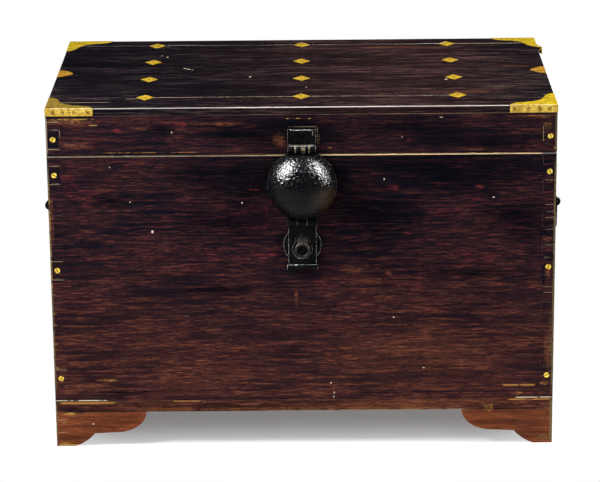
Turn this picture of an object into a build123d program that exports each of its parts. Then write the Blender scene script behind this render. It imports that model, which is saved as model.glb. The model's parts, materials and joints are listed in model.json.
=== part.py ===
from build123d import *
import os

os.makedirs("parts", exist_ok=True)

# A hardwood chest on bracket feet, in millimetres, +Z up, its front towards -Y.
# The origin is on the floor, midway between the outermost points of the whole
# chest: the hasp's dome at the front and the hinge knuckles at the back.

# ---- Driving sizes: carcass ----
width = 915
depth = 550
board = 24              # thickness of the wall boards, rim boards and feet
foot_height = 66
rail_height = 22
rail_width = 44         # its inner part is the ledge that carries the bottom
body_height = 467
bottom_thickness = 14
bottom_plank_count = 3
bottom_gap = 1.0        # all round the bottom planks
bearer_width = 60

# ---- Driving sizes: lid ----
seam = 1.0              # between body and lid
rim_height = 72.5
top_thickness = 13.5
front_strip = 80        # depth of the front strip of the lid top
back_strip = 44         # depth of the back strip
joint_gap = 0.4         # open joint between planks
arris = 1.5             # rounding of the lid's front top edge
batten_width = 45
batten_thickness = 20

# ---- Driving sizes: dovetails ----
tail_half = 16          # half height of a tail at the corner of the chest
tail_taper = 2.0        # how much each side draws in towards the root
tail_pitch = 58         # about the distance from tail to tail
top_tail_drop = 36      # topmost body tail, below the body's upper edge
middle_tail_rise = 252  # middle screwed tail, above the body's lower edge
low_tail_rise = 44      # lowest body tail, above the body's lower edge
lid_tail_rise = 29      # lid tail, above the rim's lower edge

# ---- Driving sizes: feet ----
foot_length = 167
foot_flat = 35          # length of the sole
notch_length = 71       # from the corner to the step
notch_height = 24.5
lobe_start = 112        # where the upper lobe begins to rise
lobe_height = 26.5
foot_bulge = 3.0
foot_tail_rise = 38     # middle of the foot's tail, above the floor
foot_tail_half = 12
block_size = 32
block_rise = 6          # the blocks stop short of the floor

# ---- Driving sizes: brass ----
brass = 0.8             # sheet thickness of the mounts
mount_leg = 85
inlay_depth = 1.0
inlay_proud = 0.2
inlay_gap = 0.1
lozenge_width = 32
lozenge_length = 41
lozenge_rows = 4
lozenge_edge = 45       # hindmost lozenge row, from the back edge
column_offset = 283     # left and right lozenge columns, from the middle
tongue_reach = 29
tongue_length = 59
tongue_bulge = 4.0
screw_head_r = 5.0
screw_head_t = 3.0
screw_shank_r = 2.5
screw_length = 42
slot_width = 1.4
slot_depth = 1.2
tack_r = 0.9
tack_length = 9.0
tack_head_r = 1.9
tack_head_t = 0.7
strap_tacks = (0.17, 0.37, 0.61, 0.9)   # shares of a mount's leg, from the corner
leaf_tacks = ((0.23, 0.23), (0.77, 0.1), (0.1, 0.77))
nail_clear = 0.05       # round every screw, nail and tack shank

# ---- Driving sizes: iron ----
leaf = 3.0              # thickness of hinge leaves and lock plate
nail_r = 2.0
nail_head_r = 4.2
nail_head_t = 1.6
nail_length = 18        # from the outside of the leaf
pin_clear = 0.06        # round every hinge pin
pin_head_rim = 1.4      # how far a pin's riveted head stands past the pin
pin_head_t = 1.6
knuckle_gap = 0.3       # between neighbouring knuckles
barrel_clear = 0.4      # between a barrel and the wood or plate beside it

hinge_barrel_r = 7.0
hinge_pin_r = 3.0
hinge_width = 48
hinge_offset = 290      # hinge centre, from the middle
hinge_body_length = 120
hinge_lid_length = 58
hinge_body_spots = ((-14, -30), (14, -30), (0, -65), (0, -100))   # nails, from the body's top edge
hinge_lid_spots = ((-14, 26), (14, 26), (0, 46))                  # from the rim's lower edge

hasp_width = 50
hasp_leaf_rise = 45     # top of the hasp leaf, above the rim's lower edge
hasp_leaf_spots = ((-16, -7), (0, -7), (16, -7), (-9, -18), (9, -18))   # nails, from the leaf's top
upper_pin_rise = 9      # upper hasp pin, above the rim's lower edge
upper_barrel_r = 7.5
upper_tongue = 23.5     # middle knuckle of the upper hasp hinge
hasp_pin_r = 2.8
hasp_plate = 4.0
hasp_neck = 40
dome_r = 63
dome_wall = 2.5
dome_drop = 65          # dome centre, below the upper pin
strap_length = 134      # from pin to pin
lower_barrel_r = 8.0
lower_barrel_width = 55
lower_tongue = 18
flap_width = 50
flap_length = 86        # from the lower pin to the lip
flap_clear = 3.0        # round the staple, inside the flap's opening
lip_r = 5.0
lip_length = 55
lock_plate_r = 34
lock_plate_drop = 45    # lock plate centre, below the lower pin
staple_drop = 52        # staple ring centre, below the lower pin
staple_ring_r = 12.0
staple_wire_r = 2.7
staple_reach = 16.5     # ring centre line, in front of the body
staple_lug_r = 10.0
staple_shank_r = 4.0

# ---- Driving sizes: drop handles ----
handle_rise = 312       # handle axis, above the body's lower edge
handle_stand = 20       # handle axis, out from the end board
bail_r = 4.0
bail_half = 57          # half length over the stub ends
bail_shoulder = 40
bail_grip_half = 33
bail_drop = 56
bail_shoulder_bend = 5.5
bail_grip_bend = 12
eye_r = 8.5
eye_thickness = 8.0
eye_offset = 50         # eye centre, from the middle of the handle
eye_shank_r = 3.5
rose_r = 18
rose_t = 2.5
rivet_rim = 3.0         # how far a riveted end stands past its shank
rivet_t = 2.0

# ---- Levels and faces worked out from the sizes ----
rail_top = foot_height + rail_height
body_top = rail_top + body_height
lid_bottom = body_top + seam
rim_top = lid_bottom + rim_height
lid_top = rim_top + top_thickness

strap_stand = leaf + barrel_clear             # air behind the hanging strap
front_reach = strap_stand + hasp_plate + dome_r
back_reach = barrel_clear + 2 * hinge_barrel_r
middle_y = (front_reach - back_reach) / 2
front_y = middle_y - depth / 2
back_y = middle_y + depth / 2
right_x = width / 2

front_face = Plane(origin=(0, front_y, 0), x_dir=(1, 0, 0), z_dir=(0, -1, 0))
back_face = Plane(origin=(0, back_y, 0), x_dir=(-1, 0, 0), z_dir=(0, 1, 0))
left_face = Plane(origin=(-right_x, middle_y, 0), x_dir=(0, -1, 0), z_dir=(-1, 0, 0))
right_face = Plane(origin=(right_x, middle_y, 0), x_dir=(0, 1, 0), z_dir=(1, 0, 0))
middle_plane = Plane.XZ.offset(-middle_y)
hands = {"left": -1, "right": 1}
ends = {"front": -1, "back": 1}
long_faces = {"front": front_face, "back": back_face}
end_faces = {"left": left_face, "right": right_face}
standing = (Align.CENTER, Align.CENTER, Align.MIN)
hanging = (Align.CENTER, Align.CENTER, Align.MAX)

low_tail = rail_top + low_tail_rise
middle_tail = rail_top + middle_tail_rise
top_tail = body_top - top_tail_drop

upper_pin_z = lid_bottom + upper_pin_rise
lower_pin_z = upper_pin_z - strap_length
leaf_top = lid_bottom + hasp_leaf_rise
lock_z = lower_pin_z - lock_plate_drop
staple_z = lower_pin_z - staple_drop
lug_z = staple_z + staple_ring_r + staple_wire_r
strap_back = front_y - strap_stand
strap_top = upper_pin_z - upper_barrel_r - barrel_clear
strap_low = lower_pin_z + lower_barrel_r + barrel_clear
handle_z = rail_top + handle_rise
hinge_z = body_top + seam / 2
hinge_y = back_y + barrel_clear + hinge_barrel_r
upper_pin_y = front_y - barrel_clear - upper_barrel_r
lower_pin_y = front_y - barrel_clear - lower_barrel_r


def keep(part, name):
    """Name a finished piece and write it."""
    part.label = name
    export_step(part, f"parts/{name}.step")


def on(face, u, v, out=0):
    """A place on an outside face: u to the right, v up, out from the wood."""
    return face.location * Location((u, v, out))


def pegs(places, radius, length, head_r=0, head_t=0, mode=Mode.ADD):
    """A shank going in at each place, with a head standing on it if it has one."""
    for place in places:
        with Locations(place):
            Cylinder(radius, length, align=hanging, mode=mode)
            if head_t > 0:
                Cylinder(head_r, head_t, align=standing, mode=mode)


def bore(places, radius, length):
    """Holes from the places inwards, a nail's clearance larger all round."""
    pegs(places, radius + nail_clear, length + nail_clear, mode=Mode.SUBTRACT)


# ---- Where the fasteners go ----
def corner_places(heights):
    """Screw places in the corner tails of the front and the back."""
    across = right_x - board / 2
    return [
        on(face, hand * across, v) for face in long_faces.values() for hand in hands.values() for v in heights
    ]


def hinge_places(edge, offsets):
    """Nail places in the back hinge leaves, on the outside of the leaf."""
    return [
        on(back_face, hand * hinge_offset + du, edge + dv, leaf) for hand in hands.values() for du, dv in offsets
    ]


def mount_tacks():
    """Tack places in the four corner mounts: along both straps and in the leaf."""
    places = []
    strap_z = rim_top + top_thickness / 2
    for end, end_sign in ends.items():
        for hand, hand_sign in hands.items():
            turn = end_sign * hand_sign
            for share in strap_tacks:
                along = share * mount_leg
                places.append(on(long_faces[end], -turn * (right_x - along), strap_z, brass))
                places.append(on(end_faces[hand], turn * (depth / 2 - along), strap_z, brass))
            for across, inward in leaf_tacks:
                x = hand_sign * (right_x - across * mount_leg)
                y = middle_y + end_sign * (depth / 2 - inward * mount_leg)
                places.append(Location((x, y, lid_top + brass)))
    return places


def eye_places(face):
    """Where the shanks of a drop handle's two eyes go into an end board."""
    return [on(face, sign * eye_offset, handle_z) for sign in ends.values()]


body_screws = corner_places((low_tail, middle_tail, top_tail))
lid_screws = corner_places((lid_bottom + lid_tail_rise,))
hinge_body_nails = hinge_places(body_top, hinge_body_spots)
hinge_lid_nails = hinge_places(lid_bottom, hinge_lid_spots)
hasp_leaf_nails = [on(front_face, du, leaf_top + dv, leaf) for du, dv in hasp_leaf_spots]
lock_nails = [
    on(front_face, hand * (lock_plate_r + flap_width / 2) / 2, lock_z, leaf) for hand in hands.values()
]
staple_place = on(front_face, 0, lug_z, leaf)
columns = (-column_offset, 0, column_offset)
row_step = (depth - front_strip - lozenge_edge) / (lozenge_rows - 1)
rows = [front_y + front_strip + i * row_step for i in range(lozenge_rows)]
lozenge_nails = [Location((x, y, lid_top + inlay_proud)) for x in columns for y in rows]
lozenge_nail_length = inlay_proud + top_thickness + batten_thickness / 2
edge_tacks = mount_tacks() + [
    Location((hand * (right_x - tongue_reach / 2), middle_y, lid_top + inlay_proud)) for hand in hands.values()
]


# ---- Boards with dovetails ----
def spread(low, high):
    """Heights from low to high, both included, about a tail pitch apart."""
    steps = max(1, round((high - low) / tail_pitch))
    return [low + (high - low) * i / steps for i in range(steps + 1)]


body_tails = spread(low_tail, middle_tail) + spread(middle_tail, top_tail)[1:]
lid_tails = [lid_bottom + lid_tail_rise]
foot_tails = [foot_tail_rise]


def right_tails(heights, half):
    """The tails at the right end of a long board, drawn on its outside face."""
    root = right_x - board
    with BuildSketch() as shape:
        for v in heights:
            Polygon(
                (root, v - half + tail_taper),
                (right_x, v - half),
                (right_x, v + half),
                (root, v + half - tail_taper),
            )
    return shape.sketch


def long_board(face, low, high, heights):
    """A front or back board, from low to high, with a tail at each of the heights."""
    right = right_tails(heights, tail_half)
    with BuildPart() as piece:
        with BuildSketch(face):
            with Locations((0, (low + high) / 2)):
                Rectangle(width - 2 * board, high - low)
            add(right)
            add(mirror(right, about=Plane.YZ, mode=Mode.PRIVATE))
        extrude(amount=-board)
    return piece.part


def end_board(face, low, high, heights):
    """A left or right board, with sockets for the long boards' tails."""
    right = right_tails(heights, tail_half)
    with BuildPart() as piece:
        with BuildSketch(face):
            with Locations((0, (low + high) / 2)):
                Rectangle(depth, high - low)
        extrude(amount=-board)
        for long_face in long_faces.values():
            with BuildSketch(long_face):
                add(right)
                add(mirror(right, about=Plane.YZ, mode=Mode.PRIVATE))
            extrude(amount=-board, mode=Mode.SUBTRACT)
    return piece.part


def screw_holes(places):
    bore(places, screw_shank_r, screw_length)
    bore(places, screw_head_r, screw_head_t)


def corner_screws(places):
    """Flush slotted screws, each turned a little differently."""
    with BuildPart() as screws:
        for i, place in enumerate(places):
            with Locations(place):
                Cylinder(screw_shank_r, screw_length, align=hanging)
                Cylinder(screw_head_r, screw_head_t, align=hanging)
                Box(
                    2 * screw_head_r,
                    slot_width,
                    slot_depth,
                    rotation=(0, 0, 65 + 47 * i),
                    align=hanging,
                    mode=Mode.SUBTRACT,
                )
    return screws.part


# ---- Carcass ----
def carcass_walls():
    for end, face in long_faces.items():
        with BuildPart() as wall:
            add(long_board(face, rail_top, body_top, body_tails))
            screw_holes(body_screws)
            bore(hinge_body_nails + lock_nails, nail_r, nail_length)
            if end == "front":
                bore([staple_place], staple_shank_r, leaf + board)
        keep(wall.part, f"{end}_board")
    for hand, face in end_faces.items():
        with BuildPart() as wall:
            add(end_board(face, rail_top, body_top, body_tails))
            screw_holes(body_screws)
            bore(eye_places(face), eye_shank_r, board)
        keep(wall.part, f"{hand}_board")
    keep(corner_screws(body_screws), "body_corner_screws")


def base_rails():
    """Four flat rails with mitred corners; the walls stand on their outer half."""
    for end, sign in ends.items():
        outer = middle_y + sign * depth / 2
        inner = outer - sign * rail_width
        with BuildPart() as rail:
            with BuildSketch(Plane.XY.offset(foot_height)):
                Polygon(
                    (-right_x, outer),
                    (right_x, outer),
                    (right_x - rail_width, inner),
                    (rail_width - right_x, inner),
                )
            extrude(amount=rail_height)
        keep(rail.part, f"{end}_base_rail")
    for hand, sign in hands.items():
        outer = sign * right_x
        inner = sign * (right_x - rail_width)
        with BuildPart() as rail:
            with BuildSketch(Plane.XY.offset(foot_height)):
                Polygon(
                    (outer, front_y),
                    (outer, back_y),
                    (inner, back_y - rail_width),
                    (inner, front_y + rail_width),
                )
            extrude(amount=rail_height)
        keep(rail.part, f"{hand}_base_rail")


def bottom():
    """Planks lying on the rails' ledge, and the bearer under their middle."""
    with BuildPart() as bearer:
        with Locations((0, middle_y, foot_height)):
            Box(bearer_width, depth - 2 * rail_width, rail_height, align=standing)
    keep(bearer.part, "bottom_bearer")
    room = depth - 2 * board - 2 * bottom_gap
    pitch = room / bottom_plank_count
    for i in range(bottom_plank_count):
        y = middle_y - room / 2 + (i + 0.5) * pitch
        with BuildPart() as plank:
            with Locations((0, y, rail_top)):
                Box(width - 2 * board - 2 * bottom_gap, pitch - joint_gap, bottom_thickness, align=standing)
        keep(plank.part, f"bottom_plank_{i + 1}")


# ---- Feet ----
def foot_outline(corner):
    """The ogee bracket, its corner at the given u, running to the left."""
    with BuildSketch() as outline:
        with BuildLine():
            Polyline(
                (corner - foot_flat, 0),
                (corner, 0),
                (corner, foot_height),
                (corner - foot_length, foot_height),
            )
            EllipticalCenterArc(
                (corner - lobe_start, foot_height),
                foot_length - lobe_start,
                foot_height - lobe_height,
                start_angle=180,
                arc_size=90,
            )
            Line((corner - lobe_start, lobe_height), (corner - notch_length, notch_height))
            SagittaArc((corner - notch_length, notch_height), (corner - foot_flat, 0), -foot_bulge)
        make_face()
    return outline.sketch


def foot_face():
    """The front bracket of a right corner, with its tail, drawn on the outside face."""
    with BuildSketch() as shape:
        add(foot_outline(right_x))
        with Locations((right_x - board / 2, foot_height / 2)):
            Rectangle(board, foot_height, mode=Mode.SUBTRACT)
        add(right_tails(foot_tails, foot_tail_half))
    return shape.sketch


def feet():
    """Two bracket boards at each corner, tailed together."""
    right_face_shape = foot_face()
    right_side_shape = foot_outline(depth / 2)
    tail = right_tails(foot_tails, foot_tail_half)
    for end, end_sign in ends.items():
        for hand, hand_sign in hands.items():
            # Seen from outside, this corner is at the right of its long face, or else
            # it is at the right of its end face.
            right_of_long = end_sign * hand_sign < 0
            face_shape = right_face_shape if right_of_long else mirror(right_face_shape, about=Plane.YZ)
            side_shape = mirror(right_side_shape, about=Plane.YZ) if right_of_long else right_side_shape
            socket = tail if right_of_long else mirror(tail, about=Plane.YZ)
            with BuildPart() as bracket:
                with BuildSketch(long_faces[end]):
                    add(face_shape)
                extrude(amount=-board)
            keep(bracket.part, f"{end}_{hand}_foot_face")
            with BuildPart() as bracket:
                with BuildSketch(end_faces[hand]):
                    add(side_shape)
                extrude(amount=-board)
                with BuildSketch(long_faces[end]):
                    add(socket)
                extrude(amount=-board, mode=Mode.SUBTRACT)
            keep(bracket.part, f"{end}_{hand}_foot_side")
    with BuildPart() as blocks:
        inset = board + block_size / 2
        for end_sign in ends.values():
            for hand_sign in hands.values():
                x = hand_sign * (right_x - inset)
                y = middle_y + end_sign * (depth / 2 - inset)
                with Locations((x, y, block_rise)):
                    Box(block_size, block_size, foot_height - block_rise, align=standing)
    keep(blocks.part, "foot_blocks")


# ---- Lid ----
def lid_frame():
    """The rim boards, their corner screws and the battens between them."""
    for end, face in long_faces.items():
        with BuildPart() as rim:
            add(long_board(face, lid_bottom, rim_top, lid_tails))
            screw_holes(lid_screws)
            bore(hasp_leaf_nails + hinge_lid_nails, nail_r, nail_length)
        keep(rim.part, f"lid_{end}_rim")
    for hand, face in end_faces.items():
        with BuildPart() as rim:
            add(end_board(face, lid_bottom, rim_top, lid_tails))
            screw_holes(lid_screws)
        keep(rim.part, f"lid_{hand}_rim")
    keep(corner_screws(lid_screws), "lid_corner_screws")
    with BuildPart() as battens:
        for x in columns:
            with Locations((x, middle_y, rim_top)):
                Box(batten_width, depth - 2 * board, batten_thickness, align=hanging)
        bore(lozenge_nails, tack_r, lozenge_nail_length)
    keep(battens.part, "lid_battens")


def lozenges(gap, thickness):
    """The lozenges as solids, a gap larger all round, up from the bed of the inlay."""
    half_width = lozenge_width / 2
    half_length = lozenge_length / 2
    with BuildPart() as solids:
        with BuildSketch(Plane.XY.offset(lid_top - inlay_depth)):
            with Locations(*[(x, y) for x in columns for y in rows]):
                Polygon((-half_width, 0), (0, -half_length), (half_width, 0), (0, half_length))
            if gap > 0:
                offset(amount=gap, kind=Kind.INTERSECTION)
        extrude(amount=thickness)
    return solids.part


def edge_tongue(gap, thickness):
    """The half lozenge of the right lid edge as a solid, its point inwards."""
    with BuildPart() as solid:
        with BuildSketch(Plane(origin=(right_x, middle_y, lid_top - inlay_depth))):
            with BuildLine():
                Line((0, -tongue_length / 2), (0, tongue_length / 2))
                SagittaArc((0, tongue_length / 2), (-tongue_reach, 0), -tongue_bulge)
                SagittaArc((-tongue_reach, 0), (0, -tongue_length / 2), -tongue_bulge)
            make_face()
            if gap > 0:
                offset(amount=gap, kind=Kind.INTERSECTION)
        extrude(amount=thickness)
    return solid.part


def lid_planks():
    """Front strip, panel and back strip, let in for the inlays and bored for the tacks."""
    first_joint = front_y + front_strip
    second_joint = back_y - back_strip
    spans = {
        "lid_front_strip": (front_y, first_joint - joint_gap / 2),
        "lid_panel": (first_joint + joint_gap / 2, second_joint - joint_gap / 2),
        "lid_back_strip": (second_joint + joint_gap / 2, back_y),
    }
    lozenge_beds = lozenges(inlay_gap, top_thickness)
    right_bed = edge_tongue(inlay_gap, top_thickness)
    left_bed = mirror(right_bed, about=Plane.YZ)
    for name, (start, end) in spans.items():
        with BuildPart() as plank:
            with Locations((0, (start + end) / 2, rim_top)):
                Box(width, end - start, top_thickness, align=standing)
            if name == "lid_front_strip":
                fillet(plank.edges().filter_by(Axis.X).group_by(Axis.Z)[-1].sort_by(Axis.Y)[0], arris)
            add(lozenge_beds, mode=Mode.SUBTRACT)
            if name == "lid_panel":
                add([left_bed, right_bed], mode=Mode.SUBTRACT)
            bore(lozenge_nails, tack_r, lozenge_nail_length)
            bore(edge_tacks, tack_r, tack_length)
        keep(plank.part, name)


# ---- Brass ----
def mount_leaf():
    """The top leaf of a corner mount, its corner at the origin, legs along +X and +Y."""
    shares = ((0.14, 0.91), (0.24, 0.66), (0.38, 0.38), (0.66, 0.24), (0.91, 0.14))
    edge = [(across * mount_leg, inward * mount_leg) for across, inward in shares]
    with BuildSketch() as shape:
        with BuildLine():
            Polyline((0, mount_leg), (-brass, mount_leg), (-brass, -brass), (mount_leg, -brass), (mount_leg, 0))
            Spline((0, mount_leg), *edge, (mount_leg, 0))
        make_face()
    return shape.sketch


def corner_mounts():
    """A top leaf bent down into two straps, one mount to each lid corner."""
    reach = mount_leg + brass
    drop = top_thickness + brass
    with BuildPart() as pattern:
        with BuildSketch(Plane(origin=(-right_x, front_y, lid_top))):
            add(mount_leaf())
        extrude(amount=brass)
        with Locations((-right_x - brass, front_y - brass, rim_top)):
            Box(reach, brass, drop, align=Align.MIN)
            Box(brass, reach, drop, align=Align.MIN)
    for end in ends:
        for hand in hands:
            shape = pattern.part
            if hand == "right":
                shape = mirror(shape, about=Plane.YZ)
            if end == "back":
                shape = mirror(shape, about=middle_plane)
            with BuildPart() as mount:
                add(shape)
                bore(edge_tacks, tack_r, tack_length)
            keep(mount.part, f"corner_mount_{end}_{hand}")


def inlays_and_tacks():
    thickness = inlay_depth + inlay_proud
    with BuildPart() as inlay:
        add(lozenges(0, thickness))
        bore(lozenge_nails, tack_r, lozenge_nail_length)
    keep(inlay.part, "lozenges")
    right = edge_tongue(0, thickness)
    for hand in hands:
        with BuildPart() as inlay:
            add(right if hand == "right" else mirror(right, about=Plane.YZ, mode=Mode.PRIVATE))
            bore(edge_tacks, tack_r, tack_length)
        keep(inlay.part, f"edge_tongue_{hand}")
    with BuildPart() as tacks:
        pegs(edge_tacks, tack_r, tack_length, tack_head_r, tack_head_t)
    keep(tacks.part, "brass_tacks")
    with BuildPart() as nails:
        pegs(lozenge_nails, tack_r, lozenge_nail_length, tack_head_r, tack_head_t)
    keep(nails.part, "lozenge_nails")


# ---- Hinges ----
def knuckles(spans, pin, radius, web, pin_r):
    """Barrel pieces along X, bored for the pin, each with a web to the plate of its leaf.

    pin is the (y, z) of the axis; web is (near y, far y, end z) of the web.
    """
    near, far, end_z = web
    pin_y, pin_z = pin
    with BuildPart() as barrel:
        for start, end in spans:
            with BuildSketch(Plane.YZ.offset(start)):
                with Locations(pin):
                    Circle(radius)
                with Locations(((near + far) / 2, (pin_z + end_z) / 2)):
                    Rectangle(abs(far - near), abs(end_z - pin_z))
                with Locations(pin):
                    Circle(pin_r + pin_clear, mode=Mode.SUBTRACT)
            extrude(amount=end - start)
    return barrel.part


def outer_spans(middle, full, tongue):
    """The X spans of the two outer knuckles of a barrel of three."""
    return [
        (middle - full / 2, middle - tongue / 2 - knuckle_gap),
        (middle + tongue / 2 + knuckle_gap, middle + full / 2),
    ]


def pins(centres, radius, length):
    """Hinge pins along X, with a riveted head past each end of the barrel."""
    with BuildPart() as solids:
        for x, y, z in centres:
            with Locations((x, y, z)):
                Cylinder(radius, length, rotation=(0, 90, 0))
            for sign in hands.values():
                with Locations((x + sign * (length + pin_head_t) / 2, y, z)):
                    Cylinder(radius + pin_head_rim, pin_head_t, rotation=(0, 90, 0))
    return solids.part


def back_hinges():
    axis = (hinge_y, hinge_z)
    edge = hinge_barrel_r + barrel_clear
    tongue = hinge_width / 3
    for hand, sign in hands.items():
        middle = sign * hinge_offset
        with BuildPart() as body_leaf:
            with Locations((middle, back_y, hinge_z - edge)):
                Box(hinge_width, leaf, hinge_body_length - edge, align=(Align.CENTER, Align.MIN, Align.MAX))
            spans = outer_spans(middle, hinge_width, tongue)
            add(knuckles(spans, axis, hinge_barrel_r, (back_y, back_y + leaf, hinge_z - edge), hinge_pin_r))
            bore(hinge_body_nails, nail_r, nail_length)
        keep(body_leaf.part, f"hinge_body_leaf_{hand}")
        with BuildPart() as lid_leaf:
            with Locations((middle, back_y, hinge_z + edge)):
                Box(hinge_width, leaf, hinge_lid_length - edge, align=(Align.CENTER, Align.MIN, Align.MIN))
            spans = [(middle - tongue / 2, middle + tongue / 2)]
            add(knuckles(spans, axis, hinge_barrel_r, (back_y, back_y + leaf, hinge_z + edge), hinge_pin_r))
            bore(hinge_lid_nails, nail_r, nail_length)
        keep(lid_leaf.part, f"hinge_lid_leaf_{hand}")
    centres = [(sign * hinge_offset, hinge_y, hinge_z) for sign in hands.values()]
    keep(pins(centres, hinge_pin_r, hinge_width), "hinge_pins")


# ---- Hasp ----
def hasp_leaf():
    """The leaf nailed to the lid rim, with the two outer knuckles of the upper hinge."""
    edge = upper_pin_z + upper_barrel_r + barrel_clear
    with BuildPart() as plate:
        with Locations((0, front_y, edge)):
            Box(hasp_width, leaf, leaf_top - edge, align=(Align.CENTER, Align.MAX, Align.MIN))
        spans = outer_spans(0, hasp_width, upper_tongue)
        axis = (upper_pin_y, upper_pin_z)
        add(knuckles(spans, axis, upper_barrel_r, (front_y - leaf, front_y, edge), hasp_pin_r))
        bore(hasp_leaf_nails, nail_r, nail_length)
    keep(plate.part, "hasp_leaf")


def hasp_strap():
    """The swinging strap: a round plate behind the dome and a neck from pin to pin."""
    with BuildPart() as strap:
        with BuildSketch(front_face.offset(strap_stand)):
            with Locations((0, upper_pin_z - dome_drop)):
                Circle(dome_r)
            with Locations((0, (strap_top + strap_low) / 2)):
                Rectangle(2 * dome_r, strap_top - strap_low, mode=Mode.INTERSECT)
                Rectangle(hasp_neck, strap_top - strap_low)
        extrude(amount=hasp_plate)
        upper_axis = (upper_pin_y, upper_pin_z)
        upper_web = (strap_back - hasp_plate, strap_back, strap_top)
        upper_spans = [(-upper_tongue / 2, upper_tongue / 2)]
        add(knuckles(upper_spans, upper_axis, upper_barrel_r, upper_web, hasp_pin_r))
        lower_axis = (lower_pin_y, lower_pin_z)
        lower_web = (strap_back - hasp_plate, strap_back, strap_low)
        lower_spans = outer_spans(0, lower_barrel_width, lower_tongue)
        add(knuckles(lower_spans, lower_axis, lower_barrel_r, lower_web, hasp_pin_r))
    keep(strap.part, "hasp_strap")


def half_ball(radius, inset):
    """The front half of a ball on the strap, cut flat an inset short of its barrels."""
    base_y = strap_back - hasp_plate
    with BuildPart() as ball:
        with Locations((0, base_y, upper_pin_z - dome_drop)):
            Sphere(radius, arc_size1=0, rotation=(90, 0, 0), align=standing)
        with Locations((0, base_y, (strap_top + strap_low) / 2)):
            band = strap_top - strap_low - 2 * inset
            Box(2 * dome_r, 2 * dome_r, band, mode=Mode.INTERSECT)
    return ball.part


def hasp_dome():
    """A hollow half ball, closed by the strap behind it."""
    hollow = half_ball(dome_r - dome_wall, dome_wall)
    with BuildPart() as dome:
        add(half_ball(dome_r, 0))
        add(hollow, mode=Mode.SUBTRACT)
    keep(dome.part, "hasp_dome")


def hasp_flap():
    """The flap below the strap, with its keyhole over the staple and its rolled lip."""
    top = lower_pin_z - lower_barrel_r - barrel_clear
    lip_z = lower_pin_z - flap_length
    web = (strap_back - hasp_plate, strap_back, top)
    with BuildPart() as flap:
        with BuildSketch(front_face.offset(strap_stand)):
            with Locations((0, (top + lip_z) / 2)):
                Rectangle(flap_width, top - lip_z)
            with Locations((0, staple_z)):
                Circle(staple_ring_r + staple_wire_r + flap_clear, mode=Mode.SUBTRACT)
            with Locations((0, lug_z)):
                Circle(staple_lug_r + flap_clear, mode=Mode.SUBTRACT)
        extrude(amount=hasp_plate)
        axis = (lower_pin_y, lower_pin_z)
        add(knuckles([(-lower_tongue / 2, lower_tongue / 2)], axis, lower_barrel_r, web, hasp_pin_r))
        with Locations((0, strap_back - hasp_plate / 2, lip_z)):
            Cylinder(lip_r, lip_length, rotation=(0, 90, 0))
    keep(flap.part, "hasp_flap")


def lock_plate():
    with BuildPart() as plate:
        with BuildSketch(front_face):
            with Locations((0, lock_z)):
                Circle(lock_plate_r)
        extrude(amount=leaf)
        bore(lock_nails, nail_r, nail_length)
        bore([staple_place], staple_shank_r, leaf + board)
    keep(plate.part, "lock_plate")


def staple():
    """A ring facing the front on a lug, its shank riveted inside the front board."""
    with BuildPart() as eye:
        with Locations((0, front_y - staple_reach, staple_z)):
            Torus(staple_ring_r, staple_wire_r, rotation=(90, 0, 0))
        with BuildSketch(front_face.offset(leaf)):
            with Locations((0, lug_z)):
                Circle(staple_lug_r)
            with Locations((0, staple_z + staple_ring_r + staple_lug_r)):
                Rectangle(2 * staple_lug_r, 2 * staple_lug_r, mode=Mode.INTERSECT)
        extrude(amount=staple_reach - leaf)
        with Locations(staple_place):
            Cylinder(staple_shank_r, leaf + board, align=hanging)
        with Locations(on(front_face, 0, lug_z, -board)):
            Cylinder(staple_shank_r + rivet_rim, rivet_t, align=hanging)
    keep(eye.part, "staple")


def iron_nails():
    with BuildPart() as nails:
        pegs(hinge_body_nails + lock_nails, nail_r, nail_length, nail_head_r, nail_head_t)
    keep(nails.part, "body_iron_nails")
    with BuildPart() as nails:
        pegs(hinge_lid_nails + hasp_leaf_nails, nail_r, nail_length, nail_head_r, nail_head_t)
    keep(nails.part, "lid_iron_nails")


def hasp():
    hasp_leaf()
    hasp_strap()
    hasp_dome()
    hasp_flap()
    lock_plate()
    staple()
    keep(pins([(0, upper_pin_y, upper_pin_z)], hasp_pin_r, hasp_width), "hasp_upper_pin")
    keep(pins([(0, lower_pin_y, lower_pin_z)], hasp_pin_r, lower_barrel_width), "hasp_lower_pin")


# ---- Drop handles ----
def bail(hand):
    """A bent rod with two stub ends along Y, hanging from the eyes."""
    axis_x = hands[hand] * (right_x + handle_stand)
    with BuildPart() as rod:
        with BuildLine(Plane(origin=(axis_x, middle_y, handle_z), x_dir=(0, 1, 0), z_dir=(1, 0, 0))) as path:
            FilletPolyline(
                (-bail_half, 0),
                (-bail_shoulder, 0),
                (-bail_grip_half, -bail_drop),
                (bail_grip_half, -bail_drop),
                (bail_shoulder, 0),
                (bail_half, 0),
                radius=[bail_shoulder_bend, bail_grip_bend, bail_grip_bend, bail_shoulder_bend],
            )
        with BuildSketch(Plane(origin=path.line @ 0, z_dir=path.line % 0)):
            Circle(bail_r)
        sweep()
    keep(rod.part, f"bail_{hand}")


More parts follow.
